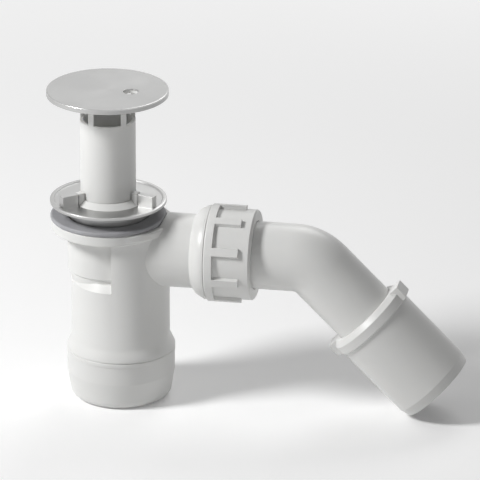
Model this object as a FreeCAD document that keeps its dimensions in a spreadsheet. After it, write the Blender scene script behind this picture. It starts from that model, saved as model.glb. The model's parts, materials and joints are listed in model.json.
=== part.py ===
import FreeCAD, Part
import math
import os
from types import SimpleNamespace

import Sketcher

# Shower tray waste with a lift-out dip tube, in millimetres.
# The origin is the middle of the tray hole at the tray's upper face, where the flange's rim rests.
# +Z is up along the drain's axis, and +X points to the outlet.

document = FreeCAD.newDocument("shower_tray_waste")
sheet = document.addObject("Spreadsheet::Sheet", "Sizes")

driving_sizes = [
    ("view_turn", 10.0, "turn of the flange's ribs, the tube and its cover about the drain's axis, degrees"),
    ("face_gap", 0.1, "gap between faces that meet when a joint is at its limit"),
    ("fit_gap", 0.05, "radial clearance of a close fit"),
    ("slide_gap", 0.15, "radial clearance of a pipe in its socket"),
    ("thread_gap", 0.1, "radial clearance between two threads"),
    ("loose_gap", 0.3, "radial clearance of a loose guide"),
    ("overrun", 1.0, "how far a cut runs past the face that it opens"),

    ("rim_radius", 34.5, "flange rim, outside"),
    ("rim_thickness", 2.1, "flange rim"),
    ("rim_band", 2.1, "flat band round the flange's dish"),
    ("rim_round", 0.5, "round of the rim's edges"),
    ("dish_depth", 0.8, "dish below the rim's top"),
    ("neck_radius", 24.4, "locating neck that passes through the tray hole"),
    ("neck_height", 7.3, "locating neck, from the rim down"),
    ("thread_radius", 20.95, "outside of the flange's pipe thread, G 1 1/4"),
    ("thread_length", 20.6, "threaded neck"),
    ("thread_wall", 2.05, "wall of the threaded neck"),
    ("rib_count", 3, "ribs that carry the cover"),
    ("rib_thickness", 4.6, "flange rib"),
    ("rib_height", 6.5, "ribs, above the rim's top"),
    ("rib_radius", 31.5, "outer end of the ribs"),

    ("guide_radius", 21.0, "guide ring's head, outside"),
    ("guide_depth", 3.0, "guide ring's head below the dish"),
    ("guide_rise", 2.1, "guide ring's inner edge above the rim's top"),
    ("guide_edge", 0.6, "flat inner edge of the guide ring"),
    ("stub_thickness", 4.0, "guide ring's rib stubs"),
    ("seal_depth", 13.0, "top of the tube's seal below the flange's rest plane"),
    ("seal_cord", 2.4, "cord of the seal round the dip tube"),

    ("tube_radius", 16.4, "dip tube, outside"),
    ("tube_wall", 1.9, "dip tube"),
    ("tube_reach", 108.3, "dip tube below its head disc"),
    ("tube_edge", 0.5, "chamfer of the dip tube's foot"),
    ("tube_lift", 58.7, "how far the tube is drawn up out of its seat"),
    ("window_count", 5, "windows under the head"),
    ("window_width", 15.8, "window"),
    ("window_height", 15.8, "window, from its sill to the head disc"),
    ("cover_overhang", 1.5, "cover plate beyond the flange's rim"),
    ("cover_height", 3.0, "cover plate with its turned-down rim"),
    ("cover_sheet", 0.8, "sheet of the cover plate"),
    ("cover_round", 0.7, "round of the cover's top edge"),
    ("head_recess", 0.3, "head disc above the cover's lower edge"),
    ("hole_radius", 4.55, "lifting hole"),
    ("hole_offset", 14.4, "lifting hole from the tube's axis, over the window beside the front one"),

    ("ring_radius", 34.3, "tray seal, outside"),
    ("ring_thickness", 2.9, "tray seal"),
    ("ring_gap", 0.5, "tray seal from the locating neck"),
    ("ring_round", 1.2, "round of the tray seal's outer edges"),

    ("collar_radius", 33.9, "collar under the tray seal"),
    ("collar_thickness", 6.0, "collar"),
    ("collar_edge", 0.5, "chamfer of the collar's edges"),
    ("collar_recess", 5.0, "recess in the collar for the locating neck"),
    ("inlet_radius", 24.4, "inlet cylinder, outside"),
    ("inlet_length", 30.6, "inlet cylinder, from the collar's top to its foot"),
    ("inlet_step", 1.2, "foot of the inlet cylinder, inward and down"),
    ("inlet_band", 3.0, "height of the band under the inlet cylinder"),
    ("inlet_passage", 18.4, "passage round the dip tube below the threaded bore"),
    ("socket_depth", 17.0, "threaded wall that hangs inside the chamber, below the collar's top"),
    ("body_wall", 2.8, "wall of the trap body"),
    ("chamber_offset", 7.0, "chamber's axis from the drain's axis"),
    ("chamber_radius", 29.1, "chamber, outside"),
    ("shoulder_radius", 25.2, "top of the chamber's shoulder"),
    ("shoulder_height", 3.9, "chamber's shoulder"),
    ("chamber_length", 35.0, "chamber's side below the shoulder"),
    ("bead_radius", 31.3, "bead round the chamber's roof"),
    ("bead_height", 4.7, "bead round the chamber's roof"),
    ("bead_round", 1.2, "round of the bead's edges"),
    ("flare_height", 6.9, "flare between chamber and cup"),

    ("cup_radius", 32.2, "cup, outside"),
    ("cup_lip", 1.2, "straight edge of the flare above the cup's joint"),
    ("cup_wall", 2.8, "cup"),
    ("cup_band", 2.6, "weld band round the cup's upper edge"),
    ("cup_step", 0.25, "weld band outside the cup's wall"),
    ("cup_straight", 13.8, "cup's straight side with its weld band"),
    ("cup_height", 30.6, "cup below its joint"),
    ("cup_taper", 2.6, "how far the cup's side tapers in"),
    ("cup_round", 5.5, "round of the cup's bottom edge"),
    ("cup_edge", 0.6, "round of the edges at the cup's joint"),
    ("spigot_length", 7.0, "body's spigot inside the cup"),

    ("pipe_radius", 20.0, "outlet pipe, outside"),
    ("pipe_wall", 1.9, "outlet pipe"),
    ("pipe_chamfer", 0.9, "chamfer of the pipe's ends"),
    ("outlet_drop", 28.3, "outlet's axis below the tray's upper face"),
    ("outlet_passage", 18.2, "water passage where it meets the pipe"),
    ("outlet_roof", 2.0, "wall between the tray seal's seat and the passage below it"),
    ("outlet_wall", 2.1, "wall between the inlet and the outlet's passage"),
    ("stub_radius", 22.0, "outlet stub, outside"),
    ("flare_start", 52.0, "start of the stub's flared collar, from the drain's axis"),
    ("flare_length", 9.1, "stub's flared collar"),
    ("flare_knee", 3.0, "steep start of the flared collar"),
    ("flare_knee_radius", 25.6, "flared collar at the end of its steep start"),
    ("flare_radius", 28.0, "flared collar at its rim"),
    ("flare_rim", 1.6, "straight rim of the flared collar"),
    ("stub_thread_radius", 23.9, "outside of the stub's pipe thread, G 1 1/2"),
    ("stub_thread_length", 15.0, "stub's thread, from the flared collar out"),
    ("pipe_start", 45.0, "pipe's inner end, from the drain's axis"),
    ("mouth_depth", 6.0, "conical mouth of the stub"),
    ("mouth_rise", 2.2, "conical mouth, radially"),

    ("nut_length", 27.2, "union nut"),
    ("nut_radius", 26.8, "union nut between its ribs"),
    ("nut_rib_radius", 28.9, "union nut over its ribs"),
    ("nut_ring", 5.1, "raised ring at the nut's inner end"),
    ("nut_rib_length", 15.5, "ribs, from the raised ring out"),
    ("nut_rib_width", 4.8, "ribs, across their top"),
    ("nut_rib_spread", 1.0, "how much wider the ribs are at their root"),
    ("nut_rib_count", 9, "ribs"),
    ("nut_rib_turn", 21.9, "first rib above the horizontal, degrees"),
    ("nut_end_wall", 3.8, "end wall of the nut"),
    ("nut_chamfer", 0.9, "chamfer of the nut's end face"),
    ("nut_hole_gap", 0.4, "radial gap between the nut's hole and the pipe"),
    ("nut_lead", 3.0, "plain lead of the nut's bore"),
    ("slip_thickness", 1.5, "slip ring"),

    ("bend_place", 120.6, "crossing of the bend's centre-lines, from the drain's axis"),
    ("bend_angle", 45.0, "bend, degrees"),
    ("bend_radius", 22.5, "bend's centre-line radius"),
    ("leg_length", 88.0, "bend's leg, from the crossing to the pipe's end"),

    ("sleeve_grip", 42.0, "how far the pipe reaches into the end sleeve"),
    ("sleeve_length", 62.0, "end sleeve"),
    ("sleeve_radius", 25.0, "end sleeve's barrel, outside"),
    ("sleeve_wall", 2.0, "end sleeve's barrel"),
    ("mouth_radius", 23.0, "face of the sleeve's mouth, outside"),
    ("mouth_slope", 3.0, "length of the slope from mouth to collar"),
    ("sleeve_collar_radius", 26.0, "sleeve's collar"),
    ("sleeve_collar_length", 8.6, "sleeve's collar with its slope"),
    ("sleeve_floor", 2.0, "wall behind the seal's groove"),
    ("sleeve_edge", 0.5, "chamfer of the sleeve's collar"),
    ("sleeve_tip", 5.6, "tapered tip of the sleeve"),
    ("sleeve_tip_in", 1.5, "tapered tip, inward"),
    ("groove_place", 2.6, "seal's groove behind the mouth"),
    ("groove_width", 4.6, "seal's groove in the sleeve"),
    ("groove_depth", 2.4, "seal's groove"),
    ("spacer_count", 4, "ribs in the sleeve that hold the pipe central"),
    ("spacer_thickness", 1.6, "ribs in the sleeve"),
    ("stop_length", 1.8, "feet of those ribs behind the pipe's end"),
    ("stop_height", 1.4, "feet of those ribs, inward over the pipe's wall"),
    ("lug_radius", 28.4, "top of the lugs"),
    ("lug_length", 8.3, "lugs, along the sleeve"),
    ("lug_width", 12.0, "lugs, across"),
    ("lug_round", 1.5, "round of the lugs' far edge"),
]


class Measure:
    # A length or angle that carries its number and the sheet's expression for it.

    def __init__(self, value, text):
        self.value = value
        self.text = text

    def __add__(self, other):
        other = as_measure(other)
        return Measure(self.value + other.value, f"({self.text} + {other.text})")

    def __radd__(self, other):
        return as_measure(other) + self

    def __sub__(self, other):
        other = as_measure(other)
        return Measure(self.value - other.value, f"({self.text} - {other.text})")

    def __rsub__(self, other):
        return as_measure(other) - self

    def __mul__(self, other):
        other = as_measure(other)
        return Measure(self.value * other.value, f"({self.text} * {other.text})")

    def __rmul__(self, other):
        return as_measure(other) * self

    def __truediv__(self, other):
        other = as_measure(other)
        return Measure(self.value / other.value, f"({self.text} / {other.text})")

    def __neg__(self):
        return 0 - self


def as_measure(number):
    if isinstance(number, Measure):
        return number
    return Measure(number, repr(number))


def sine(angle):
    return Measure(math.sin(math.radians(angle.value)), f"sin({angle.text})")


def cosine(angle):
    return Measure(math.cos(math.radians(angle.value)), f"cos({angle.text})")


def tangent(angle):
    return Measure(math.tan(math.radians(angle.value)), f"tan({angle.text})")


def fill_sheet(rows):
    measures = {}
    for row, (name, value, note) in enumerate(rows, start=1):
        sheet.set(f"A{row}", note)
        sheet.set(f"B{row}", str(value))
        sheet.setAlias(f"B{row}", name)
        measures[name] = Measure(value, f"Sizes.{name}")
    document.recompute()
    return SimpleNamespace(**measures)


size = fill_sheet(driving_sizes)

# Heights on the drain's axis. The flange's rest plane is at zero.
dish_top = size.rim_thickness - size.dish_depth
rib_top = size.rim_thickness + size.rib_height
neck_foot = -size.neck_height
thread_foot = neck_foot - size.thread_length
guide_foot = dish_top - size.guide_depth
head_foot = rib_top + size.face_gap + size.tube_lift
tube_foot = head_foot - size.tube_reach
window_sill = head_foot - size.window_height
cover_foot = head_foot - size.head_recess
cover_top = cover_foot + size.cover_height
cover_radius = size.rim_radius + size.cover_overhang
collar_top = neck_foot - size.ring_thickness
collar_foot = collar_top - size.collar_thickness
inlet_foot = collar_top - size.inlet_length
shoulder_top = inlet_foot - size.inlet_band
shoulder_foot = shoulder_top - size.shoulder_height
chamber_foot = shoulder_foot - size.chamber_length
flare_foot = chamber_foot - size.flare_height
cup_joint = flare_foot - size.cup_lip
spigot_foot = cup_joint - size.spigot_length
cup_foot = cup_joint - size.cup_height
outlet_axis = -size.outlet_drop

# Places along the outlet's axis, from the drain's axis.
flare_end = size.flare_start + size.flare_length
stub_end = flare_end + size.stub_thread_length
nut_start = flare_end + size.loose_gap
nut_end = nut_start + size.nut_length
nut_shoulder = nut_end - size.nut_end_wall
slip_start = nut_shoulder - size.face_gap - size.slip_thickness

# The sleeve's mouth, along the bend's leg from the crossing.
sleeve_mouth = size.leg_length - size.sleeve_grip

quarter_turn = Measure(90, "90")
chamber_line = ((size.chamber_offset, 0), (size.chamber_offset, cup_foot))
outlet_line = ((0, outlet_axis), (stub_end, outlet_axis))


def start_body(name):
    body = document.addObject("PartDesign::Body", name)
    body.Label = name
    return body


def sketch_on(body, role, name, height=None):
    plane = next(item for item in body.Origin.OriginFeatures if item.Role == role)
    sketch = body.newObject("Sketcher::SketchObject", f"{body.Name}_{name}_sketch")
    sketch.AttachmentSupport = [(plane, "")]
    sketch.MapMode = "FlatFace"
    if height is not None:
        sketch.AttachmentOffset = FreeCAD.Placement(FreeCAD.Vector(0, 0, height.value), FreeCAD.Rotation())
        sketch.setExpression("AttachmentOffset.Base.z", height.text)
    return sketch


def flat(point):
    return FreeCAD.Vector(as_measure(point[0]).value, as_measure(point[1]).value, 0)


def tie(sketch, kind, geometry, corner, distance):
    distance = as_measure(distance)
    rule = sketch.addConstraint(Sketcher.Constraint(kind, -1, 1, geometry, corner, distance.value))
    sketch.setExpression(f"Constraints[{rule}]", distance.text)


def place_point(sketch, geometry, corner, point):
    tie(sketch, "DistanceX", geometry, corner, point[0])
    tie(sketch, "DistanceY", geometry, corner, point[1])


def draw_outline(sketch, points):
    # A closed outline of straight edges whose corners are tied to the sheet.
    edges = []
    following = points[1:] + points[:1]
    for start, end in zip(points, following):
        edges.append(sketch.addGeometry(Part.LineSegment(flat(start), flat(end)), False))
    for edge, next_edge in zip(edges, edges[1:] + edges[:1]):
        sketch.addConstraint(Sketcher.Constraint("Coincident", edge, 2, next_edge, 1))
    for edge, point in zip(edges, points):
        place_point(sketch, edge, 1, point)


def draw_circle(sketch, centre, radius):
    circle = Part.Circle(flat(centre), FreeCAD.Vector(0, 0, 1), radius.value)
    geometry = sketch.addGeometry(circle, False)
    place_point(sketch, geometry, 3, centre)
    rule = sketch.addConstraint(Sketcher.Constraint("Radius", geometry, radius.value))
    sketch.setExpression(f"Constraints[{rule}]", radius.text)


def draw_half_disc(sketch, centre, radius, edge_offset):
    # The part of a disc beyond a straight edge that lies edge_offset to the right of its centre.
    reach = math.sqrt(radius.value ** 2 - edge_offset.value ** 2)
    turn = math.atan2(reach, edge_offset.value)
    circle = Part.Circle(FreeCAD.Vector(centre.value, 0, 0), FreeCAD.Vector(0, 0, 1), radius.value)
    arc = sketch.addGeometry(Part.ArcOfCircle(circle, -turn, turn), False)
    edge_place = centre + edge_offset
    top = FreeCAD.Vector(edge_place.value, reach, 0)
    bottom = FreeCAD.Vector(edge_place.value, -reach, 0)
    line = sketch.addGeometry(Part.LineSegment(top, bottom), False)
    place_point(sketch, arc, 3, (centre, 0))
    rule = sketch.addConstraint(Sketcher.Constraint("Radius", arc, radius.value))
    sketch.setExpression(f"Constraints[{rule}]", radius.text)
    sketch.addConstraint(Sketcher.Constraint("Coincident", arc, 2, line, 1))
    sketch.addConstraint(Sketcher.Constraint("Coincident", line, 2, arc, 1))
    sketch.addConstraint(Sketcher.Constraint("Vertical", line))
    tie(sketch, "DistanceX", line, 1, edge_place)


def add_axis(sketch, start, end):
    line = sketch.addGeometry(Part.LineSegment(flat(start), flat(end)), True)
    place_point(sketch, line, 1, start)
    place_point(sketch, line, 2, end)


def turn_sketch(body, name, sketch, kind="PartDesign::Revolution", reference="V_Axis"):
    feature = body.newObject(kind, f"{body.Name}_{name}")
    feature.Profile = sketch
    feature.ReferenceAxis = (sketch, [reference])
    feature.Angle = 360
    document.recompute()
    return feature


def turn_outline(body, name, points, kind="PartDesign::Revolution", axis=None):
    # The outline turned round the body's own Z, or round the line between two given points.
    sketch = sketch_on(body, "XZ_Plane", name)
    if axis is not None:
        add_axis(sketch, axis[0], axis[1])
    draw_outline(sketch, points)
    return turn_sketch(body, name, sketch, kind, "V_Axis" if axis is None else "Axis0")


def extrude(body, name, sketch, length, kind="PartDesign::Pad", reversed_way=False):
    feature = body.newObject(kind, f"{body.Name}_{name}")
    feature.Profile = sketch
    feature.Reversed = reversed_way
    feature.Length = length.value
    feature.setExpression("Length", length.text)
    document.recompute()
    return feature


def repeat_round(body, name, feature, count):
    pattern = body.newObject("PartDesign::PolarPattern", f"{body.Name}_{name}")
    pattern.Originals = [feature]
    axis = next(item for item in body.Origin.OriginFeatures if item.Role == "Z_Axis")
    pattern.Axis = (axis, [""])
    pattern.Angle = 360
    pattern.Occurrences = int(count.value)
    pattern.setExpression("Occurrences", count.text)
    body.Tip = pattern
    document.recompute()
    return pattern


def pick_edges(body, wanted):
    found = [f"Edge{number}" for number, edge in enumerate(body.Tip.Shape.Edges, start=1) if wanted(edge)]
    if not found:
        raise ValueError(f"no such edge on {body.Name}")
    return found


def rings_at(body, radius, *heights):
    # Names of the circular edges with the given radius and heights, in the body's own frame.
    def wanted(edge):
        if not isinstance(edge.Curve, Part.Circle) or abs(edge.Curve.Radius - radius.value) > 1e-4:
            return False
        return any(abs(edge.Curve.Center.z - as_measure(height).value) < 1e-4 for height in heights)
    return pick_edges(body, wanted)


def soften(body, name, edges, amount, kind="PartDesign::Fillet"):
    base = body.Tip
    feature = body.newObject(kind, f"{body.Name}_{name}")
    feature.Base = (base, edges)
    field = "Radius" if kind == "PartDesign::Fillet" else "Size"
    setattr(feature, field, amount.value)
    feature.setExpression(field, amount.text)
    document.recompute()
    return feature


def turn_about_drain(body):
    axis = FreeCAD.Vector(0, 0, 1)
    body.Placement = FreeCAD.Placement(FreeCAD.Vector(), FreeCAD.Rotation(axis, size.view_turn.value))
    body.setExpression("Placement.Rotation.Angle", size.view_turn.text)


def lay_along(body, start, height, tilt):
    # Turns the body's Z down towards +X by the given tilt, and puts its origin on the outlet's axis.
    base = FreeCAD.Vector(as_measure(start).value, 0, height.value)
    body.Placement = FreeCAD.Placement(base, FreeCAD.Rotation(FreeCAD.Vector(0, 1, 0), tilt.value))
    body.setExpression("Placement.Base.x", as_measure(start).text)
    body.setExpression("Placement.Base.z", height.text)
    body.setExpression("Placement.Rotation.Angle", tilt.text)


def above_outlet(radius):
    return outlet_axis + radius


def cut_lifting_hole(body, foot, depth):
    turn = 4 * quarter_turn / size.window_count
    place = (size.hole_offset * sine(turn), -size.hole_offset * cosine(turn))
    sketch = sketch_on(body, "XY_Plane", "hole", foot)
    draw_circle(sketch, place, size.hole_radius)
    return extrude(body, "hole", sketch, depth, "PartDesign::Pocket", True)


def make_cover_plate():
    # A pressed sheet cap: flat top, turned-down rim and the lifting hole.
    body = start_body("cover_plate")
    inner = cover_radius - size.cover_sheet
    sheet_foot = cover_top - size.cover_sheet
    turn_outline(body, "cap", [
        (0, sheet_foot), (inner, sheet_foot), (inner, cover_foot), (cover_radius, cover_foot),
        (cover_radius, cover_top), (0, cover_top),
    ])
    soften(body, "edge", rings_at(body, cover_radius, cover_top), size.cover_round)
    cut_lifting_hole(body, cover_foot, size.cover_height)
    turn_about_drain(body)
    return body


def make_dip_tube():
    # The tube, its windows and the head disc that fills the cover are one moulding.
    body = start_body("dip_tube")
    head_radius = cover_radius - size.cover_sheet - size.fit_gap
    head_top = cover_top - size.cover_sheet
    bore = size.tube_radius - size.tube_wall
    chamfer = size.tube_edge
    turn_outline(body, "wall", [
        (bore, tube_foot + chamfer), (bore + chamfer, tube_foot), (size.tube_radius - chamfer, tube_foot),
        (size.tube_radius, tube_foot + chamfer), (size.tube_radius, head_foot),
        (head_radius, head_foot), (head_radius, head_top), (0, head_top), (0, head_foot), (bore, head_foot),
    ])
    sketch = sketch_on(body, "XZ_Plane", "window")
    half = size.window_width / 2
    draw_outline(sketch, [(-half, window_sill), (half, window_sill), (half, head_foot), (-half, head_foot)])
    window = extrude(body, "window", sketch, size.tube_radius + size.overrun, "PartDesign::Pocket", True)
    repeat_round(body, "windows", window, size.window_count)
    cut_lifting_hole(body, head_foot, head_top - head_foot)
    turn_about_drain(body)
    return body


def make_flange():
    # Rim, dish, locating neck and threaded neck are one casting, with three ribs on the dish.
    body = start_body("flange")
    bore = size.thread_radius - size.thread_wall
    guide_bore = size.guide_radius + size.fit_gap
    tube_bore = size.tube_radius + size.loose_gap
    seal_foot = -size.seal_depth - size.seal_cord - size.face_gap
    band_inner = size.rim_radius - size.rim_band
    turn_outline(body, "dish", [
        (guide_bore, guide_foot), (guide_bore, dish_top), (band_inner - size.dish_depth, dish_top),
        (band_inner, size.rim_thickness), (size.rim_radius, size.rim_thickness), (size.rim_radius, 0),
        (size.neck_radius, 0), (size.neck_radius, neck_foot), (size.thread_radius, neck_foot),
        (size.thread_radius, thread_foot), (tube_bore, thread_foot), (tube_bore, seal_foot),
        (bore, seal_foot), (bore, guide_foot),
    ])
    soften(body, "rim_edges", rings_at(body, size.rim_radius, size.rim_thickness, 0), size.rim_round)
    sketch = sketch_on(body, "XY_Plane", "rib", dish_top)
    half = size.rib_thickness / 2
    inner = guide_bore + size.loose_gap
    draw_outline(sketch, [(-half, inner), (half, inner), (half, size.rib_radius), (-half, size.rib_radius)])
    rib = extrude(body, "rib", sketch, rib_top - dish_top)
    repeat_round(body, "ribs", rib, size.rib_count)
    turn_about_drain(body)
    return body


def make_guide_ring():
    # The ring round the tube holds its seal down, and its stubs carry on the flange's ribs.
    body = start_body("guide_ring")
    bore = size.tube_radius + size.loose_gap
    stem = size.thread_radius - size.thread_wall - size.fit_gap
    edge = bore + size.guide_edge
    inner_top = size.rim_thickness + size.guide_rise
    turn_outline(body, "ring", [
        (bore, -size.seal_depth), (stem, -size.seal_depth), (stem, guide_foot), (size.guide_radius, guide_foot),
        (size.guide_radius, dish_top), (edge, inner_top), (bore, inner_top),
    ])
    sketch = sketch_on(body, "XY_Plane", "stub", guide_foot)
    half = size.stub_thickness / 2
    inner = bore + size.guide_edge / 2
    outer = size.guide_radius - size.loose_gap
    draw_outline(sketch, [(-half, inner), (half, inner), (half, outer), (-half, outer)])
    stub = extrude(body, "stub", sketch, rib_top - guide_foot)
    repeat_round(body, "stubs", stub, size.rib_count)
    turn_about_drain(body)
    return body


def make_tube_seal():
    # A rubber ring of round section between the guide ring's stem and the ledge in the flange's neck.
    body = start_body("tube_seal")
    cord = size.seal_cord / 2
    centre = (size.tube_radius + size.fit_gap + cord, -size.seal_depth - cord - size.face_gap / 2)
    sketch = sketch_on(body, "XZ_Plane", "cord")
    draw_circle(sketch, centre, cord)
    turn_sketch(body, "ring", sketch)
    return body


def make_tray_seal():
    body = start_body("tray_seal")
    bore = size.neck_radius + size.ring_gap
    turn_outline(body, "ring", [
        (bore, collar_top), (size.ring_radius, collar_top), (size.ring_radius, neck_foot), (bore, neck_foot),
    ])
    soften(body, "edges", rings_at(body, size.ring_radius, neck_foot, collar_top), size.ring_round)
    return body


def add_body_outside(body):
    # The chamber stands nearer to the outlet than the inlet does. Above its shoulder only the outlet side
    # goes on up, to a roof behind the collar with a bead round it.
    axis = size.chamber_offset
    spigot = size.cup_radius - size.cup_wall - size.fit_gap
    turn_outline(body, "chamber", [
        (axis, shoulder_top), (axis + size.shoulder_radius, shoulder_top),
        (axis + size.chamber_radius, shoulder_foot), (axis + size.chamber_radius, chamber_foot),
        (axis + size.cup_radius, flare_foot), (axis + size.cup_radius, cup_joint),
        (axis + spigot, cup_joint), (axis + spigot, spigot_foot), (axis, spigot_foot),
    ], axis=chamber_line)
    soften(body, "joint_edge", rings_at(body, size.cup_radius, cup_joint), size.cup_edge)
    rear = sketch_on(body, "XY_Plane", "rear", shoulder_foot)
    draw_half_disc(rear, axis, size.chamber_radius, as_measure(0))
    extrude(body, "rear", rear, collar_top - shoulder_foot)
    bead = sketch_on(body, "XY_Plane", "bead", collar_top - size.bead_height)
    draw_half_disc(bead, axis, size.bead_radius, as_measure(0))
    extrude(body, "bead", bead, size.bead_height)
    bead_rings = rings_at(body, size.bead_radius, collar_top, collar_top - size.bead_height)
    soften(body, "bead_edges", bead_rings, size.bead_round)
    root = axis + size.chamber_radius / 2
    turn_outline(body, "stub", [
        (root, outlet_axis), (root, above_outlet(size.stub_radius)),
        (size.flare_start, above_outlet(size.stub_radius)),
        (size.flare_start + size.flare_knee, above_outlet(size.flare_knee_radius)),
        (flare_end - size.flare_rim, above_outlet(size.flare_radius)), (flare_end, above_outlet(size.flare_radius)),
        (flare_end, above_outlet(size.stub_thread_radius)), (stub_end, above_outlet(size.stub_thread_radius)),
        (stub_end, outlet_axis),
    ], axis=outlet_line)


def hollow_chamber(body):
    # The hollow follows the outside: a full round below the shoulder, and its outlet side up to the roof.
    axis = size.chamber_offset
    cavity = size.chamber_radius - size.body_wall
    hollow_foot = shoulder_foot - size.body_wall
    end = spigot_foot - size.overrun
    turn_outline(body, "lower_hollow", [
        (axis, shoulder_top - size.body_wall), (axis + size.shoulder_radius - size.body_wall, shoulder_top - size.body_wall),
        (axis + cavity, hollow_foot), (axis + cavity, end), (axis, end),
    ], "PartDesign::Groove", chamber_line)
    upper = sketch_on(body, "XY_Plane", "upper_hollow", hollow_foot)
    draw_half_disc(upper, axis, cavity, size.body_wall)
    extrude(body, "upper_hollow", upper, collar_top - size.body_wall - hollow_foot, "PartDesign::Pocket", True)


def add_inlet(body):
    # Collar and inlet cylinder. Inside the chamber, the inlet's wall ends below the flange's thread.
    band = size.inlet_radius - size.inlet_step
    chamfer = size.collar_edge
    collar_face = size.collar_radius - chamfer
    turn_outline(body, "inlet", [
        (0, collar_top), (collar_face, collar_top), (size.collar_radius, collar_top - chamfer),
        (size.collar_radius, collar_foot + chamfer), (collar_face, collar_foot), (size.inlet_radius, collar_foot),
        (size.inlet_radius, inlet_foot), (band, inlet_foot - size.inlet_step), (band, shoulder_top),
        (size.chamber_radius - size.chamber_offset, shoulder_foot), (0, shoulder_foot),
    ])
    water_way_foot = shoulder_foot - size.body_wall
    water_way = sketch_on(body, "XY_Plane", "water_way", water_way_foot)
    draw_half_disc(water_way, size.chamber_offset, size.chamber_radius - size.body_wall, size.body_wall)
    height = collar_top - size.socket_depth - water_way_foot
    extrude(body, "water_way", water_way, height, "PartDesign::Pocket", True)


def bore_body(body):
    # Inlet bore: seat of the tray seal, recess for the locating neck, threaded bore and passage.
    recess = size.neck_radius + size.loose_gap
    recess_foot = collar_top - size.collar_recess
    bore = size.thread_radius + size.thread_gap
    bore_foot = inlet_foot - size.inlet_step
    passage_foot = shoulder_foot - size.body_wall
    seat = size.ring_radius + size.ring_gap
    above = above_outlet(size.stub_radius) + size.overrun
    turn_outline(body, "inlet_bore", [
        (0, above), (seat, above), (seat, collar_top), (recess, collar_top), (recess, recess_foot),
        (bore, recess_foot), (bore, bore_foot), (size.inlet_passage, bore_foot),
        (size.inlet_passage, passage_foot), (0, passage_foot),
    ], "PartDesign::Groove")
    # Outlet bore: a throat under the tray seal's seat, the passage that widens to the pipe's bore, the
    # pipe's socket with its stop, and the conical mouth for the wedge seal.
    start = size.inlet_radius + size.outlet_wall
    throat_end = seat + size.outlet_wall
    throat_top = collar_top - size.outlet_roof
    stop = size.pipe_start - size.loose_gap
    socket = size.pipe_radius + size.slide_gap
    mouth = socket + size.mouth_rise
    end = stub_end + size.overrun
    turn_outline(body, "outlet_bore", [
        (start, outlet_axis), (start, throat_top), (throat_end, throat_top),
        (stop, above_outlet(size.outlet_passage)), (stop, above_outlet(socket)),
        (stub_end - size.mouth_depth, above_outlet(socket)), (stub_end, above_outlet(mouth)),
        (end, above_outlet(mouth)), (end, outlet_axis),
    ], "PartDesign::Groove", outlet_line)


def make_trap_body():
    # One moulding with collar, inlet, chamber and outlet stub.
    body = start_body("trap_body")
    add_body_outside(body)
    hollow_chamber(body)
    add_inlet(body)
    bore_body(body)
    return body


def make_trap_cup():
    # The cup slips over the body's spigot and is welded there.
    body = start_body("trap_cup")
    inner = size.cup_radius - size.cup_wall
    outer = size.cup_radius - size.cup_step
    band_foot = cup_joint - size.cup_band
    taper_top = cup_joint - size.cup_straight
    floor = cup_foot + size.cup_wall
    foot_radius = outer - size.cup_taper
    floor_radius = foot_radius - size.cup_wall
    turn_outline(body, "wall", [
        (0, cup_foot), (foot_radius, cup_foot), (outer, taper_top), (outer, band_foot), (size.cup_radius, band_foot),
        (size.cup_radius, cup_joint), (inner, cup_joint), (inner, taper_top), (floor_radius, floor), (0, floor),
    ])
    soften(body, "bottom_edge", rings_at(body, foot_radius, cup_foot), size.cup_round)
    soften(body, "floor_edge", rings_at(body, floor_radius, floor), size.cup_round - size.cup_wall)
    soften(body, "upper_edge", rings_at(body, size.cup_radius, cup_joint), size.cup_edge)
    body.Placement = FreeCAD.Placement(FreeCAD.Vector(size.chamber_offset.value, 0, 0), FreeCAD.Rotation())
    body.setExpression("Placement.Base.x", size.chamber_offset.text)
    return body


def make_cone_seal():
    # A wedge of rubber round the pipe, between the stub's conical mouth and the slip ring.
    body = start_body("cone_seal")
    bore = size.pipe_radius + size.fit_gap
    tip = stub_end - size.mouth_depth / 2
    back = slip_start - size.face_gap
    tip_radius = size.pipe_radius + size.slide_gap + size.mouth_rise / 2 - size.face_gap
    wide = tip_radius + size.mouth_rise / 2
    turn_outline(body, "wedge", [(bore, tip), (tip_radius, tip), (wide, stub_end), (wide, back), (bore, back)])
    lay_along(body, 0, outlet_axis, quarter_turn)
    return body


def make_slip_ring():
    body = start_body("slip_ring")
    bore = size.pipe_radius + size.slide_gap
    outer = size.stub_thread_radius - size.slide_gap
    end = slip_start + size.slip_thickness
    turn_outline(body, "ring", [(bore, slip_start), (outer, slip_start), (outer, end), (bore, end)])
    lay_along(body, 0, outlet_axis, quarter_turn)
    return body


def nut_rib_corner(radius, side):
    # A point at the given radius on the first rib's middle line, moved sideways.
    across = cosine(size.nut_rib_turn)
    up = sine(size.nut_rib_turn)
    return (-radius * up - side * across, side * up - radius * across)


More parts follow.
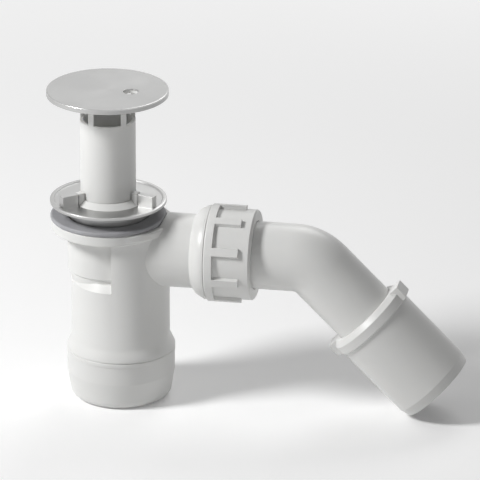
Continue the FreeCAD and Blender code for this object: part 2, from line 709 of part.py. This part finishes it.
def make_union_nut():
    # A raised ring at the inner end carries axial ribs, which stop short of the chamfered end face.
    body = start_body("union_nut")
    thread = size.stub_thread_radius + size.thread_gap
    lead = thread + size.nut_hole_gap
    lead_end = nut_start + size.nut_lead
    hole = size.pipe_radius + size.nut_hole_gap
    ring_end = nut_start + size.nut_ring
    turn_outline(body, "wall", [
        (lead, nut_start), (size.nut_rib_radius, nut_start), (size.nut_rib_radius, ring_end),
        (size.nut_radius, ring_end), (size.nut_radius, nut_end), (hole, nut_end), (hole, nut_shoulder),
        (thread, nut_shoulder), (thread, lead_end), (lead, lead_end),
    ])
    soften(body, "end_edge", rings_at(body, size.nut_radius, nut_end), size.nut_chamfer, "PartDesign::Chamfer")
    soften(body, "ring_edge", rings_at(body, size.nut_rib_radius, nut_start), size.nut_chamfer)
    sketch = sketch_on(body, "XY_Plane", "rib", ring_end)
    half = size.nut_rib_width / 2
    root_half = half + size.nut_rib_spread / 2
    root = size.nut_radius - size.nut_chamfer
    draw_outline(sketch, [
        nut_rib_corner(root, -root_half), nut_rib_corner(size.nut_rib_radius, -half),
        nut_rib_corner(size.nut_rib_radius, half), nut_rib_corner(root, root_half),
    ])
    rib = extrude(body, "rib", sketch, size.nut_rib_length)
    repeat_round(body, "ribs", rib, size.nut_rib_count)
    lay_along(body, 0, outlet_axis, quarter_turn)
    return body


def make_elbow():
    # A pipe bend: straight into the stub's socket, a round bend and a straight leg.
    body = start_body("elbow")
    setback = size.bend_radius * tangent(size.bend_angle / 2)
    bend_start = size.bend_place - setback
    bend_end = (size.bend_place + setback * cosine(size.bend_angle), -setback * sine(size.bend_angle))
    leg_end = (size.bend_place + size.leg_length * cosine(size.bend_angle), -size.leg_length * sine(size.bend_angle))
    route = sketch_on(body, "XZ_Plane", "route")
    straight = route.addGeometry(Part.LineSegment(flat((size.pipe_start, 0)), flat((bend_start, 0))), False)
    circle = Part.Circle(flat((bend_start, -size.bend_radius)), FreeCAD.Vector(0, 0, 1), size.bend_radius.value)
    leg_turn = math.radians(90 - size.bend_angle.value)
    bend = route.addGeometry(Part.ArcOfCircle(circle, leg_turn, math.pi / 2), False)
    leg = route.addGeometry(Part.LineSegment(flat(bend_end), flat(leg_end)), False)
    route.addConstraint(Sketcher.Constraint("Coincident", straight, 2, bend, 2))
    route.addConstraint(Sketcher.Constraint("Coincident", bend, 1, leg, 1))
    place_point(route, straight, 1, (size.pipe_start, 0))
    place_point(route, straight, 2, (bend_start, 0))
    place_point(route, bend, 3, (bend_start, -size.bend_radius))
    place_point(route, leg, 2, leg_end)
    tie(route, "DistanceX", leg, 1, bend_end[0])
    section = sketch_on(body, "YZ_Plane", "section", size.pipe_start)
    draw_circle(section, (0, 0), size.pipe_radius)
    draw_circle(section, (0, 0), size.pipe_radius - size.pipe_wall)
    pipe = body.newObject("PartDesign::AdditivePipe", "elbow_pipe")
    pipe.Profile = section
    pipe.Spine = (route, [])
    document.recompute()
    ends = pick_edges(body, lambda edge: is_pipe_end(edge, leg_end))
    soften(body, "end_chamfers", ends, size.pipe_chamfer, "PartDesign::Chamfer")
    body.Placement = FreeCAD.Placement(FreeCAD.Vector(0, 0, outlet_axis.value), FreeCAD.Rotation())
    body.setExpression("Placement.Base.z", outlet_axis.text)
    return body


def is_pipe_end(edge, leg_end):
    # The outer circle at either end of the bend.
    if not isinstance(edge.Curve, Part.Circle) or abs(edge.Curve.Radius - size.pipe_radius.value) > 1e-4:
        return False
    ends = [FreeCAD.Vector(size.pipe_start.value, 0, 0), FreeCAD.Vector(leg_end[0].value, 0, leg_end[1].value)]
    return any(edge.Curve.Center.distanceToPoint(end) < 1e-3 for end in ends)


def add_sleeve_lugs(body, mouth):
    # Two lugs at the mouth, above and below, with a rounded far edge.
    far = mouth + size.lug_length
    half = size.lug_width / 2
    sketch = sketch_on(body, "YZ_Plane", "lugs")
    draw_outline(sketch, [(-half, mouth), (half, mouth), (half, far), (-half, far)])
    lugs = extrude(body, "lugs", sketch, 2 * size.lug_radius)
    lugs.Midplane = True
    document.recompute()

    def is_far_edge(edge):
        middle = edge.CenterOfMass
        at_top = abs(abs(middle.x) - size.lug_radius.value) < 1e-3
        return at_top and abs(middle.z - far.value) < 1e-3
    soften(body, "lug_edges", pick_edges(body, is_far_edge), size.lug_round)


def add_sleeve_spacers(body, start):
    # Ribs that hold the pipe in the middle of the wider barrel, with feet that stop its end.
    wall = size.sleeve_radius - size.sleeve_wall / 2
    inner = size.pipe_radius + size.slide_gap
    pipe_end = size.leg_length + size.loose_gap
    foot_end = pipe_end + size.stop_length
    foot = inner - size.stop_height
    sketch = sketch_on(body, "XZ_Plane", "spacer")
    draw_outline(sketch, [
        (inner, start), (wall, start), (wall, foot_end), (foot, foot_end), (foot, pipe_end), (inner, pipe_end),
    ])
    spacer = extrude(body, "spacer", sketch, size.spacer_thickness)
    spacer.Midplane = True
    document.recompute()
    repeat_round(body, "spacers", spacer, size.spacer_count)


def make_end_sleeve():
    # A reducing sleeve: its mouth takes the pipe, and its barrel is itself the next pipe's size.
    body = start_body("end_sleeve")
    mouth = sleeve_mouth
    end = mouth + size.sleeve_length
    collar_end = mouth + size.sleeve_collar_length
    chamfer = size.sleeve_edge
    tip_start = end - size.sleeve_tip
    turn_outline(body, "outside", [
        (0, mouth), (size.mouth_radius, mouth), (size.sleeve_collar_radius, mouth + size.mouth_slope),
        (size.sleeve_collar_radius, collar_end - chamfer), (size.sleeve_collar_radius - chamfer, collar_end),
        (size.sleeve_radius, collar_end), (size.sleeve_radius, tip_start),
        (size.sleeve_radius - size.sleeve_tip_in, end), (0, end),
    ])
    add_sleeve_lugs(body, mouth)
    socket = size.pipe_radius + size.slide_gap
    groove_start = mouth + size.groove_place
    groove_end = groove_start + size.groove_width
    groove = socket + size.groove_depth
    wide_start = groove_end + size.sleeve_floor
    inner = size.sleeve_radius - size.sleeve_wall
    inner_end = inner - size.sleeve_tip_in
    turn_outline(body, "inside", [
        (0, mouth), (socket, mouth), (socket, groove_start), (groove, groove_start), (groove, groove_end),
        (socket, groove_end), (socket, wide_start), (inner, wide_start), (inner, tip_start), (inner_end, end), (0, end),
    ], "PartDesign::Groove")
    add_sleeve_spacers(body, wide_start - size.sleeve_floor / 2)
    lay_along(body, size.bend_place, outlet_axis, quarter_turn + size.bend_angle)
    return body


def make_sleeve_seal():
    # A rubber lip ring in the sleeve's groove: a back ring with a lip that leans in on the pipe.
    body = start_body("sleeve_seal")
    start = sleeve_mouth + size.groove_place + size.face_gap
    end = start + size.groove_width - 2 * size.face_gap
    back = size.pipe_radius + size.slide_gap + size.groove_depth - size.fit_gap
    lip = size.pipe_radius + size.fit_gap
    heel = back - size.groove_depth / 2
    turn_outline(body, "ring", [
        (heel, start), (back, start), (back, end), (lip, end), (lip, end - size.groove_width / 3),
    ])
    lay_along(body, size.bend_place, outlet_axis, quarter_turn + size.bend_angle)
    return body


parts = [
    make_cover_plate(),
    make_dip_tube(),
    make_flange(),
    make_guide_ring(),
    make_tube_seal(),
    make_tray_seal(),
    make_trap_body(),
    make_trap_cup(),
    make_cone_seal(),
    make_slip_ring(),
    make_union_nut(),
    make_elbow(),
    make_end_sleeve(),
    make_sleeve_seal(),
]

document.recompute()
faults = []
for item in document.Objects:
    if "Invalid" in item.State or "Error" in item.State:
        faults.append(f"{item.Name}: {item.State}")
for part in parts:
    if part.Shape.isNull() or not part.Shape.isValid():
        faults.append(f"{part.Label}: no valid solid")
if faults:
    raise RuntimeError("; ".join(faults))

os.makedirs("parts", exist_ok=True)
for part in parts:
    part.Shape.exportStep(f"parts/{part.Label}.step")
    box = part.Shape.BoundBox
    print(f"{part.Label}: {len(part.Shape.Solids)} solid, {part.Shape.Volume / 1000:.2f} cm3, "
          f"z {box.ZMin:.1f} to {box.ZMax:.1f}, x {box.XMin:.1f} to {box.XMax:.1f}")
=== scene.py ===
import json
import math

import bmesh
import bpy
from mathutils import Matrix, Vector

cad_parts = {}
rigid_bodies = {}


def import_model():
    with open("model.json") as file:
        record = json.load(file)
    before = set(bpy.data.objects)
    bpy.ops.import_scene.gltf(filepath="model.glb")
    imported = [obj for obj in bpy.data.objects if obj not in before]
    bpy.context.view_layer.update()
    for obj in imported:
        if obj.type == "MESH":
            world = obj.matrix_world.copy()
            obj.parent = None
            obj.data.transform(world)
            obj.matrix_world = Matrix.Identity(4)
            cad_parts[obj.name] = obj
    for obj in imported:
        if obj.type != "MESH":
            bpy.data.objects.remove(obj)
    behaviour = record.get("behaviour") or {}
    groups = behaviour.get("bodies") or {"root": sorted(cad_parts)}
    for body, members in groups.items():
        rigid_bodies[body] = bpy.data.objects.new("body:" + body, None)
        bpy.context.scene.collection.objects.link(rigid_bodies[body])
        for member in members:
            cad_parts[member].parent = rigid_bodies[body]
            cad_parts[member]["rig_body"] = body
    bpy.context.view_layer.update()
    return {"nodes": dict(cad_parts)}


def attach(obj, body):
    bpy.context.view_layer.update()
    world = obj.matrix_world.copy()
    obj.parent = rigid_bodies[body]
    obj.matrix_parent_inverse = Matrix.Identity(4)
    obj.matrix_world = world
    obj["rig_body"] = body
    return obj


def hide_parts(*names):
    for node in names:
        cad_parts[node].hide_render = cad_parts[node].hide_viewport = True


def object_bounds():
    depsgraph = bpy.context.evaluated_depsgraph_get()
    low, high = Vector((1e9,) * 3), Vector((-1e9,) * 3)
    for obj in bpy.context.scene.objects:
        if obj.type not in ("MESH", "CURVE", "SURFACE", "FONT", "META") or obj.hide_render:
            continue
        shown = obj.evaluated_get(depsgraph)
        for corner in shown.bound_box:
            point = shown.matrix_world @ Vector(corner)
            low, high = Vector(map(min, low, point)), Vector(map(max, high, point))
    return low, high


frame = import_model()
nodes = frame["nodes"]


# The drawing is seen from a little to the right of the outlet's side and from above.
camera = {
    "turn": 10.0,                 # degrees
    "rise": 21.5,
    "distance": 3.6,              # metres
    "clipEnd": 20.0,
    "lens": 458.2,                # millimetres, as the sensor
    "sensor": 36.0,
    "imageSize": 480,
    "rimPixel": (108.4, 197.3),   # the middle of the flange's rim in the drawing
    "rimPoint": (0.0, 0.0, 0.0021),
}


def makeCamera():
    turn = math.radians(camera["turn"])
    rise = math.radians(camera["rise"])
    away = Vector((math.sin(turn) * math.cos(rise), -math.cos(turn) * math.cos(rise), math.sin(rise)))
    right = Vector((math.cos(turn), math.sin(turn), 0))
    up = right.cross(-away)
    frameWidth = camera["distance"] * camera["sensor"] / camera["lens"]
    perPixel = frameWidth / camera["imageSize"]
    half = camera["imageSize"] / 2
    sideways = (camera["rimPixel"][0] - half) * perPixel
    upwards = (half - camera["rimPixel"][1]) * perPixel
    target = Vector(camera["rimPoint"]) - right * sideways - up * upwards
    data = bpy.data.cameras.new("photoCamera")
    data.lens = camera["lens"]
    data.sensor_width = camera["sensor"]
    data.clip_end = camera["clipEnd"]
    eye = bpy.data.objects.new("photoCamera", data)
    eye.location = target + away * camera["distance"]
    eye.rotation_euler = (-away).to_track_quat("-Z", "Y").to_euler()
    bpy.context.scene.collection.objects.link(eye)
    bpy.context.scene.camera = eye
    print("camera set")


def newMaterial(name):
    material = bpy.data.materials.new(name)
    material.use_nodes = True
    tree = material.node_tree
    surface = next(node for node in tree.nodes if node.type == "BSDF_PRINCIPLED")
    return material, tree, surface


def addNode(tree, kind, **inputs):
    node = tree.nodes.new(kind)
    for name, value in inputs.items():
        node.inputs[name].default_value = value
    return node


def addNoise(tree, scale, detail):
    place = tree.nodes.new("ShaderNodeTexCoord")
    noise = addNode(tree, "ShaderNodeTexNoise", Scale=scale, Detail=detail)
    tree.links.new(place.outputs["Object"], noise.inputs["Vector"])
    return noise.outputs["Fac"]


def addEase(tree, source, fromSpan, toSpan):
    # A smooth change from one value to the other, while the source crosses its span.
    ease = tree.nodes.new("ShaderNodeMapRange")
    ease.interpolation_type = "SMOOTHSTEP"
    ease.inputs["From Min"].default_value, ease.inputs["From Max"].default_value = fromSpan
    ease.inputs["To Min"].default_value, ease.inputs["To Max"].default_value = toSpan
    tree.links.new(source, ease.inputs["Value"])
    return ease.outputs["Result"]


def addMix(tree, source, first, second):
    mix = tree.nodes.new("ShaderNodeMix")
    mix.data_type = "RGBA"
    mix.inputs["A"].default_value = first
    mix.inputs["B"].default_value = second
    tree.links.new(source, mix.inputs["Factor"])
    return mix.outputs["Result"]


def addBump(tree, surface, source, strength, distance, under=None):
    bump = addNode(tree, "ShaderNodeBump", Strength=strength, Distance=distance)
    tree.links.new(source, bump.inputs["Height"])
    if under is not None:
        tree.links.new(under, bump.inputs["Normal"])
    tree.links.new(bump.outputs["Normal"], surface.inputs["Normal"])
    return bump.outputs["Normal"]


def addSeam(tree, halfWidth):
    # Height of a mould's parting line, along the plane through the drain and the outlet.
    place = tree.nodes.new("ShaderNodeTexCoord")
    parts = tree.nodes.new("ShaderNodeSeparateXYZ")
    aside = tree.nodes.new("ShaderNodeMath")
    aside.operation = "ABSOLUTE"
    tree.links.new(place.outputs["Object"], parts.inputs["Vector"])
    tree.links.new(parts.outputs["Y"], aside.inputs[0])
    return addEase(tree, aside.outputs["Value"], (0.0, halfWidth), (1.0, 0.0))


def lifted(tone, factor):
    return [value * factor for value in tone[:3]] + [1]


noiseSpan = (0.15, 0.85)       # noise seldom leaves it

plasticLook = {
    "lightTone": (0.765, 0.765, 0.752, 1),
    "darkTone": (0.735, 0.735, 0.72, 1),
    "toneScale": 28.0,
    "toneDetail": 3.0,
    "roughness": (0.31, 0.39),
    "skinScale": 420.0,
    "skinDetail": 2.0,
    "skinDepth": 0.000006,     # metres
    "seamWidth": 0.00022,
    "seamHeight": 0.00007,
    "edgeRound": 0.00035,
    "subsurface": 0.06,
    "subsurfaceRadius": (1.0, 0.9, 0.8),
    "subsurfaceScale": 0.002,
    "refraction": 1.49,
}


def makePlastic(name, shade, duller=0.0, seam=False):
    # Moulded polypropylene: a faint cloud in the white, a fine satin skin and softly rounded edges.
    look = plasticLook
    material, tree, surface = newMaterial(name)
    cloud = addNoise(tree, look["toneScale"], look["toneDetail"])
    skin = addNoise(tree, look["skinScale"], look["skinDetail"])
    colour = addMix(tree, cloud, lifted(look["darkTone"], shade), lifted(look["lightTone"], shade))
    tree.links.new(colour, surface.inputs["Base Color"])
    low, high = look["roughness"]
    rough = addEase(tree, cloud, noiseSpan, (low + duller, high + duller))
    tree.links.new(rough, surface.inputs["Roughness"])
    edges = addNode(tree, "ShaderNodeBevel", Radius=look["edgeRound"])
    bump = addBump(tree, surface, skin, 1.0, look["skinDepth"], edges.outputs["Normal"])
    if seam:
        addBump(tree, surface, addSeam(tree, look["seamWidth"]), 1.0, look["seamHeight"], bump)
    surface.inputs["Subsurface Weight"].default_value = look["subsurface"]
    surface.inputs["Subsurface Radius"].default_value = look["subsurfaceRadius"]
    surface.inputs["Subsurface Scale"].default_value = look["subsurfaceScale"]
    surface.inputs["IOR"].default_value = look["refraction"]
    return material


metalLook = {
    "tone": (0.49, 0.49, 0.485, 1),
    "darkTone": (0.42, 0.42, 0.415, 1),
    "toneScale": 50.0,
    "toneDetail": 3.0,
    "roughSpread": (-0.03, 0.04),    # about the finish's own roughness
    "lineScale": 420.0,
    "lineWaver": 2.0,
    "lineDetail": 3.0,
    "lineStrength": 0.6,
    "lineDepth": 0.000003,     # metres
    "edgeRound": 0.0003,
    "brushing": 0.35,
}


def makeMetal(name, rough):
    # Stainless steel with the fine turning lines that finishing leaves round the drain's axis.
    look = metalLook
    material, tree, surface = newMaterial(name)
    place = tree.nodes.new("ShaderNodeTexCoord")
    rings = addNode(tree, "ShaderNodeTexWave", Scale=look["lineScale"], Distortion=look["lineWaver"],
                    Detail=look["lineDetail"])
    rings.wave_type = "RINGS"
    rings.rings_direction = "Z"
    tree.links.new(place.outputs["Object"], rings.inputs["Vector"])
    cloud = addNoise(tree, look["toneScale"], look["toneDetail"])
    tree.links.new(addMix(tree, cloud, look["darkTone"], look["tone"]), surface.inputs["Base Color"])
    low, high = look["roughSpread"]
    gloss = addEase(tree, cloud, noiseSpan, (rough + low, rough + high))
    tree.links.new(gloss, surface.inputs["Roughness"])
    edges = addNode(tree, "ShaderNodeBevel", Radius=look["edgeRound"])
    lines = rings.outputs["Fac"]
    addBump(tree, surface, lines, look["lineStrength"], look["lineDepth"], edges.outputs["Normal"])
    surface.inputs["Metallic"].default_value = 1.0
    surface.inputs["Anisotropic"].default_value = look["brushing"]
    return material


rubberLook = {
    "tone": (0.030, 0.030, 0.032, 1),
    "dustTone": (0.055, 0.055, 0.057, 1),
    "dustScale": 90.0,
    "dustDetail": 4.0,
    "roughness": (0.55, 0.68),
    "grainScale": 420.0,
    "grainDetail": 2.0,
    "grainStrength": 0.5,
    "grainDepth": 0.00003,     # metres
}


def makeRubber(name, lift):
    # Vulcanised rubber with a dusty bloom and a fine grain.
    look = rubberLook
    material, tree, surface = newMaterial(name)
    bloom = addNoise(tree, look["dustScale"], look["dustDetail"])
    grain = addNoise(tree, look["grainScale"], look["grainDetail"])
    colour = addMix(tree, bloom, lifted(look["tone"], lift), lifted(look["dustTone"], lift))
    tree.links.new(colour, surface.inputs["Base Color"])
    tree.links.new(addEase(tree, grain, noiseSpan, look["roughness"]), surface.inputs["Roughness"])
    addBump(tree, surface, grain, look["grainStrength"], look["grainDepth"])
    return material


# Steel by its roughness, plastic by its shade and how much duller it is, rubber by how pale it is.
finishes = {
    "cover_plate": makeMetal("polishedCover", 0.21),
    "flange": makeMetal("satinFlange", 0.32),
    "dip_tube": makePlastic("tubeWhite", 1.0),
    "guide_ring": makePlastic("guideWhite", 0.97, 0.05),
    "trap_body": makePlastic("bodyWhite", 1.0, seam=True),
    "trap_cup": makePlastic("cupWhite", 0.99),
    "union_nut": makePlastic("nutWhite", 0.98, 0.03),
    "elbow": makePlastic("pipeWhite", 1.01, -0.02, seam=True),
    "end_sleeve": makePlastic("sleeveWhite", 0.98, 0.02, seam=True),
    "slip_ring": makePlastic("ringWhite", 0.9, 0.05),
    "tray_seal": makeRubber("trayRubber", 8.0),
    "tube_seal": makeRubber("tubeRubber", 1.0),
    "cone_seal": makeRubber("coneRubber", 1.0),
    "sleeve_seal": makeRubber("sleeveRubber", 1.0),
}


def dressNodes():
    for name, material in finishes.items():
        mesh = nodes[name].data
        mesh.materials.clear()
        mesh.materials.append(material)
    print("nodes dressed:", len(finishes))


# Screw threads, in metres: 11 turns an inch, right-handed, on the drain's axis and on the outlet's.
# A ridge of a threaded socket runs in the groove of its spigot.
thread = {
    "pitch": 0.002309,
    "rowsPerTurn": 12,
    "fade": 0.0015,            # run-out at each end
    "groove": {"depth": 0.0012, "flank": (0.09, 0.34)},    # flank in pitches from the crest's middle
    "ridge": {"depth": 0.0011, "flank": (0.17, 0.42)},
    "reach": 0.00006,          # a point this near the nominal radius belongs to the threaded wall
    "weld": 1e-7,
    "cutSlack": 1e-6,
    "flatAngle": 0.4,          # degrees: an edge under it only halves a flat facet
    "sharpAngle": 28.0,
}
upright = {"centre": (0, 0, 0), "first": (1, 0, 0), "second": (0, 1, 0)}
level = {"centre": (0, 0, -0.0283), "first": (0, 1, 0), "second": (0, 0, 1)}

# A wall's length is the whole round face along its axis, and its cut is where the thread runs on it.
# The grooves of a spigot run out through its free end, so their cut goes past it.
flangeNeck = {"axis": upright, "profile": "groove", "radius": 0.02095,
              "length": (-0.0279, -0.0073), "cut": (-0.0300, -0.0077)}
bodyInlet = {"axis": upright, "profile": "ridge", "radius": 0.02105,
             "length": (-0.0420, -0.0152), "cut": (-0.0418, -0.0160)}
bodyStub = {"axis": level, "profile": "groove", "radius": 0.0239,
            "length": (0.0611, 0.0761), "cut": (0.0616, 0.0780)}
nutBore = {"axis": level, "profile": "ridge", "radius": 0.0240,
           "length": (0.0644, 0.0848), "cut": (0.0650, 0.0830)}

threaded = {"flange": [flangeNeck], "trap_body": [bodyInlet, bodyStub], "union_nut": [nutBore]}


def makeThreadTree():
    # Draws the points of a round wall inwards along a helix, by the rule of the thread's profile.
    tree = bpy.data.node_groups.new("screwThread", "GeometryNodeTree")
    wanted = [
        ("Geometry", "Geometry"), ("Centre", "Vector"), ("First", "Vector"), ("Second", "Vector"),
        ("Radius", "Float"), ("Reach", "Float"), ("Start", "Float"), ("End", "Float"), ("Fade", "Float"),
        ("Pitch", "Float"), ("Depth", "Float"), ("Crest", "Float"), ("Root", "Float"),
        ("Material", "Material"),
    ]
    sockets = {}
    outside = tree.interface
    for name, kind in wanted:
        sockets[name] = outside.new_socket(name=name, in_out="INPUT", socket_type="NodeSocket" + kind)
    outside.new_socket(name="Geometry", in_out="OUTPUT", socket_type="NodeSocketGeometry")
    given = tree.nodes.new("NodeGroupInput").outputs
    result = tree.nodes.new("NodeGroupOutput")

    def feed(socket, value):
        if isinstance(value, (int, float)):
            socket.default_value = value
        else:
            tree.links.new(value, socket)

    def join(kind, operation, *values):
        step = tree.nodes.new(kind)
        step.operation = operation
        for socket, value in zip(step.inputs, values):
            feed(socket, value)
        return step

    def reckon(operation, *values):
        return join("ShaderNodeMath", operation, *values).outputs["Value"]

    def measure(operation, *values):
        return join("ShaderNodeVectorMath", operation, *values).outputs["Value"]

    def steer(operation, *values):
        return join("ShaderNodeVectorMath", operation, *values).outputs["Vector"]

    def stretch(vector, factor):
        step = join("ShaderNodeVectorMath", "SCALE", vector)
        feed(step.inputs["Scale"], factor)
        return step.outputs["Vector"]

    def easeOver(value, low, high):
        ease = tree.nodes.new("ShaderNodeMapRange")
        ease.interpolation_type = "SMOOTHSTEP"
        feed(ease.inputs["Value"], value)
        feed(ease.inputs["From Min"], low)
        feed(ease.inputs["From Max"], high)
        return ease.outputs["Result"]

    # The point's distance along the axis, from the axis and round it.
    place = tree.nodes.new("GeometryNodeInputPosition").outputs["Position"]
    local = steer("SUBTRACT", place, given["Centre"])
    axis = steer("CROSS_PRODUCT", given["First"], given["Second"])
    along = measure("DOT_PRODUCT", local, axis)
    outwards = steer("SUBTRACT", local, stretch(axis, along))
    radius = measure("LENGTH", outwards)
    angle = reckon("ARCTAN2", measure("DOT_PRODUCT", local, given["Second"]),
                   measure("DOT_PRODUCT", local, given["First"]))

    # The thread's profile there, which fades out at both ends.
    turns = reckon("DIVIDE", angle, 2 * math.pi)
    phase = reckon("SUBTRACT", reckon("DIVIDE", along, given["Pitch"]), turns)
    profile = easeOver(reckon("PINGPONG", phase, 0.5), given["Crest"], given["Root"])
    fadeIn = easeOver(reckon("SUBTRACT", along, given["Start"]), 0.0, given["Fade"])
    fadeOut = easeOver(reckon("SUBTRACT", given["End"], along), 0.0, given["Fade"])
    onWall = reckon("COMPARE", radius, given["Radius"], given["Reach"])
    mask = reckon("MULTIPLY", onWall, reckon("MULTIPLY", fadeIn, fadeOut))
    depth = reckon("MULTIPLY", given["Depth"], -1)
    inwards = reckon("MULTIPLY", reckon("MULTIPLY", profile, mask), depth)

    move = tree.nodes.new("GeometryNodeSetPosition")
    realize = tree.nodes.new("GeometryNodeRealizeInstances")
    paint = tree.nodes.new("GeometryNodeSetMaterial")
    tree.links.new(given["Geometry"], move.inputs["Geometry"])
    tree.links.new(stretch(steer("NORMALIZE", outwards), inwards), move.inputs["Offset"])
    tree.links.new(move.outputs["Geometry"], realize.inputs["Geometry"])
    tree.links.new(realize.outputs["Geometry"], paint.inputs["Geometry"])
    tree.links.new(given["Material"], paint.inputs["Material"])
    tree.links.new(paint.outputs["Geometry"], result.inputs["Geometry"])
    print("thread tree made")
    return tree, sockets


def ringRows(work, wall):
    # Cuts a round wall's long facets into rows, fine enough to carry the thread.
    centre, first, second = (Vector(wall["axis"][key]) for key in ("centre", "first", "second"))
    axis = first.cross(second)
    low, high = wall["length"]
    slack = thread["reach"]

    def onWall(vert):
        local = vert.co - centre
        along = local.dot(axis)
        off = abs((local - axis * along).length - wall["radius"])
        return off < slack and low - slack < along < high + slack

    flat = math.radians(thread["flatAngle"])
    diagonals = [edge for edge in work.edges
                 if all(onWall(vert) for vert in edge.verts) and edge.calc_face_angle(1) < flat]
    bmesh.ops.dissolve_edges(work, edges=diagonals, use_verts=False)
    facets = [face for face in work.faces if all(onWall(vert) for vert in face.verts)]
    geometry = list(dict.fromkeys(part for face in facets for part in (face, *face.edges, *face.verts)))
    step = thread["pitch"] / thread["rowsPerTurn"]
    for row in range(1, int((high - low) / step)):
        cut = bmesh.ops.bisect_plane(work, geom=geometry, dist=thread["cutSlack"],
                                     plane_co=centre + axis * (low + row * step), plane_no=axis)
        geometry = cut["geom"]


def threadSizes(wall, material):
    axis = wall["axis"]
    profile = thread[wall["profile"]]
    start, end = wall["cut"]
    crest, root = profile["flank"]
    return {
        "Centre": axis["centre"], "First": axis["first"], "Second": axis["second"],
        "Radius": wall["radius"], "Reach": thread["reach"], "Start": start, "End": end,
        "Fade": thread["fade"], "Pitch": thread["pitch"], "Depth": profile["depth"],
        "Crest": crest, "Root": root, "Material": material,
    }


def cutThreads(tree, sockets):
    sharp = math.radians(thread["sharpAngle"])
    for name, walls in threaded.items():
        piece = bpy.data.objects.new(name + "Threaded", bpy.data.meshes.new(name + "Threaded"))
        bpy.context.scene.collection.objects.link(piece)
        work = bmesh.new()
        work.from_mesh(nodes[name].data)
        bmesh.ops.remove_doubles(work, verts=work.verts, dist=thread["weld"])
        for face in work.faces:
            face.smooth = True
        for edge in work.edges:
            edge.smooth = edge.calc_face_angle(0) < sharp
        for wall in walls:
            ringRows(work, wall)
        work.to_mesh(piece.data)
        work.free()
        for wall in walls:
            modifier = piece.modifiers.new("thread", "NODES")
            modifier.node_group = tree
            for socketName, value in threadSizes(wall, finishes[name]).items():
                modifier[sockets[socketName].identifier] = value
        graph = bpy.context.evaluated_depsgraph_get()
        plain = bpy.data.meshes.new_from_object(piece.evaluated_get(graph))
        piece.modifiers.clear()
        piece.data = plain
        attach(piece, nodes[name]["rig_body"])
        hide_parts(name)
        print("threads cut:", name, len(plain.polygons), "faces")


stage = {
    "floorSize": 6.0,
    "floorColour": (0.93, 0.93, 0.93, 1),
    "floorRough": 0.9,
    "glowColour": (1, 1, 1, 1),
    "glowReach": (0.45, 1.90),     # metres from the drain
    "glow": (0.13, 1.0),           # added to the floor's white there, only where it is seen directly
    "worldColour": (1.0, 1.0, 1.0, 1),
    "worldLight": 0.16,            # on the object
    "worldSeen": 1.0,              # as background and in reflections
    "lampAim": (0.06, 0, -0.03),
    "lamps": {
        "keyLamp": {"power": 19.5, "size": 0.4, "place": (-1.0, -0.55, 0.95)},
        "fillLamp": {"power": 0.5, "size": 0.9, "place": (1.1, -0.8, 0.5)},
        "backLamp": {"power": 4.0, "size": 0.7, "place": (0.2, 1.0, 0.9)},
    },
}


def seenDirectly(tree):
    # 1 for what the camera sees, also in metal or glass, and 0 for the light on the object.
    path = tree.nodes.new("ShaderNodeLightPath")
    seen = path.outputs["Is Camera Ray"]
    for name in ("Is Glossy Ray", "Is Transmission Ray"):
        either = tree.nodes.new("ShaderNodeMath")
        either.operation = "MAXIMUM"
        tree.links.new(seen, either.inputs[0])
        tree.links.new(path.outputs[name], either.inputs[1])
        seen = either.outputs["Value"]
    return seen


def makeFloor():
    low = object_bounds()[0][2]
    half = stage["floorSize"] / 2
    corners = [(-half, -half, low), (half, -half, low), (half, half, low), (-half, half, low)]
    mesh = bpy.data.meshes.new("floor")
    mesh.from_pydata(corners, [], [(0, 1, 2, 3)])
    floor = bpy.data.objects.new("floor", mesh)
    bpy.context.scene.collection.objects.link(floor)
    material, tree, surface = newMaterial("floorWhite")
    surface.inputs["Base Color"].default_value = stage["floorColour"]
    surface.inputs["Roughness"].default_value = stage["floorRough"]
    surface.inputs["Specular IOR Level"].default_value = 0.0
    surface.inputs["Emission Color"].default_value = stage["glowColour"]
    place = tree.nodes.new("ShaderNodeTexCoord")
    away = tree.nodes.new("ShaderNodeVectorMath")
    away.operation = "LENGTH"
    shown = tree.nodes.new("ShaderNodeMath")
    shown.operation = "MULTIPLY"
    tree.links.new(place.outputs["Object"], away.inputs[0])
    glow = addEase(tree, away.outputs["Value"], stage["glowReach"], stage["glow"])
    tree.links.new(glow, shown.inputs[0])
    tree.links.new(seenDirectly(tree), shown.inputs[1])
    tree.links.new(shown.outputs["Value"], surface.inputs["Emission Strength"])
    mesh.materials.append(material)


def makeWorld():
    world = bpy.data.worlds.new("studio")
    bpy.context.scene.world = world
    world.use_nodes = True
    tree = world.node_tree
    background = next(node for node in tree.nodes if node.type == "BACKGROUND")
    background.inputs["Color"].default_value = stage["worldColour"]
    strength = tree.nodes.new("ShaderNodeMapRange")
    strength.inputs["To Min"].default_value = stage["worldLight"]
    strength.inputs["To Max"].default_value = stage["worldSeen"]
    tree.links.new(seenDirectly(tree), strength.inputs["Value"])
    tree.links.new(strength.outputs["Result"], background.inputs["Strength"])


def addLamp(name, lamp):
    data = bpy.data.lights.new(name, "AREA")
    data.energy = lamp["power"]
    data.shape = "DISK"
    data.size = lamp["size"]
    holder = bpy.data.objects.new(name, data)
    holder.location = lamp["place"]
    towards = Vector(stage["lampAim"]) - Vector(lamp["place"])
    holder.rotation_euler = towards.to_track_quat("-Z", "Y").to_euler()
    bpy.context.scene.collection.objects.link(holder)


def lightStudio():
    makeFloor()
    makeWorld()
    for name, lamp in stage["lamps"].items():
        addLamp(name, lamp)
    print("studio lit")


def setView():
    bpy.context.scene.view_settings.view_transform = "Standard"


makeCamera()
dressNodes()
cutThreads(*makeThreadTree())
lightStudio()
setView()
